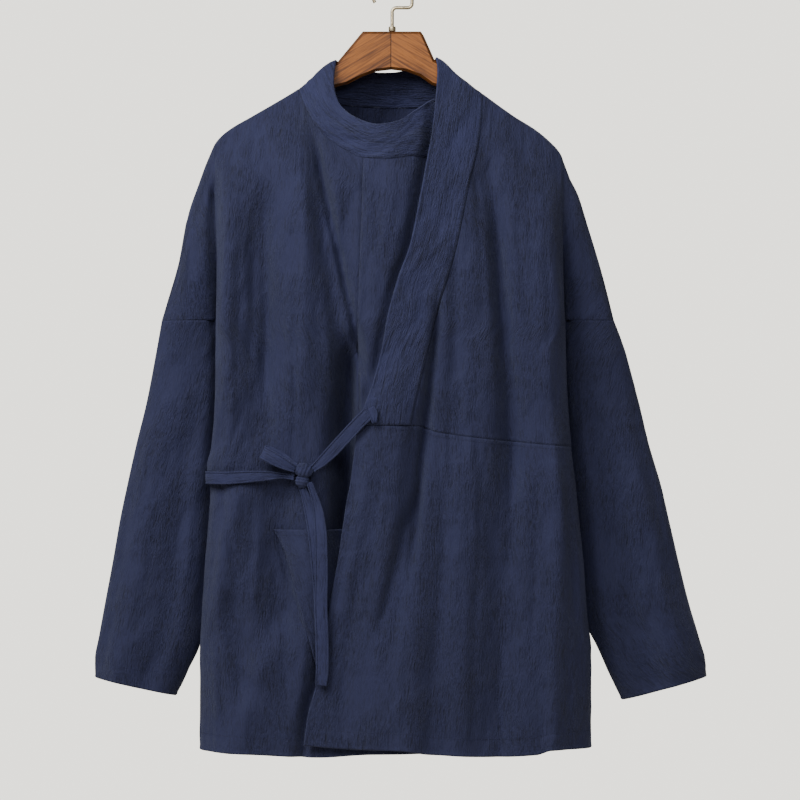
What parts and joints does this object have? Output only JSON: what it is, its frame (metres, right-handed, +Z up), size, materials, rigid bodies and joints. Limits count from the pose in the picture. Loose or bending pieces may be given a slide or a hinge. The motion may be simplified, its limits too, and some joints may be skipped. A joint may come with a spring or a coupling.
{
  "type": "kimono jacket on a wooden hanger",
  "caption": "Plain crinkled wrap jacket of kimono cut with long sleeves, a collar band and a side tie, hanging on a wooden hanger with a wire hook.",
  "frame": {"origin": "inside top of the hook's arc, where a rail carries the hanger", "axes": "+Z up, the jacket's front faces -Y, and the wearer's left is at +X"},
  "size_m": [0.7085, 0.1815, 0.9039],
  "materials": {
    "cloth": "matt crinkled cotton and linen, navy",
    "hanger_wood": "varnished warm brown",
    "hook_metal": "dull pale brass"
  },
  "bodies": {
    "root": {"front_right_main": "cloth", "front_right_inner": "cloth", "front_left_upper": "cloth", "front_left_lower": "cloth", "back": "cloth", "sleeve_right": "cloth", "sleeve_left": "cloth", "collar_band": "cloth", "pocket": "cloth", "tie_side": "cloth", "tie_front": "cloth", "tie_knot": "cloth", "tie_loop": "cloth", "tie_tail_near": "cloth", "tie_tail_far": "cloth", "hanger_body": "hanger_wood", "hanger_ferrule": "hook_metal", "hanger_hook": "hook_metal"}
  },
  "joints": []
}
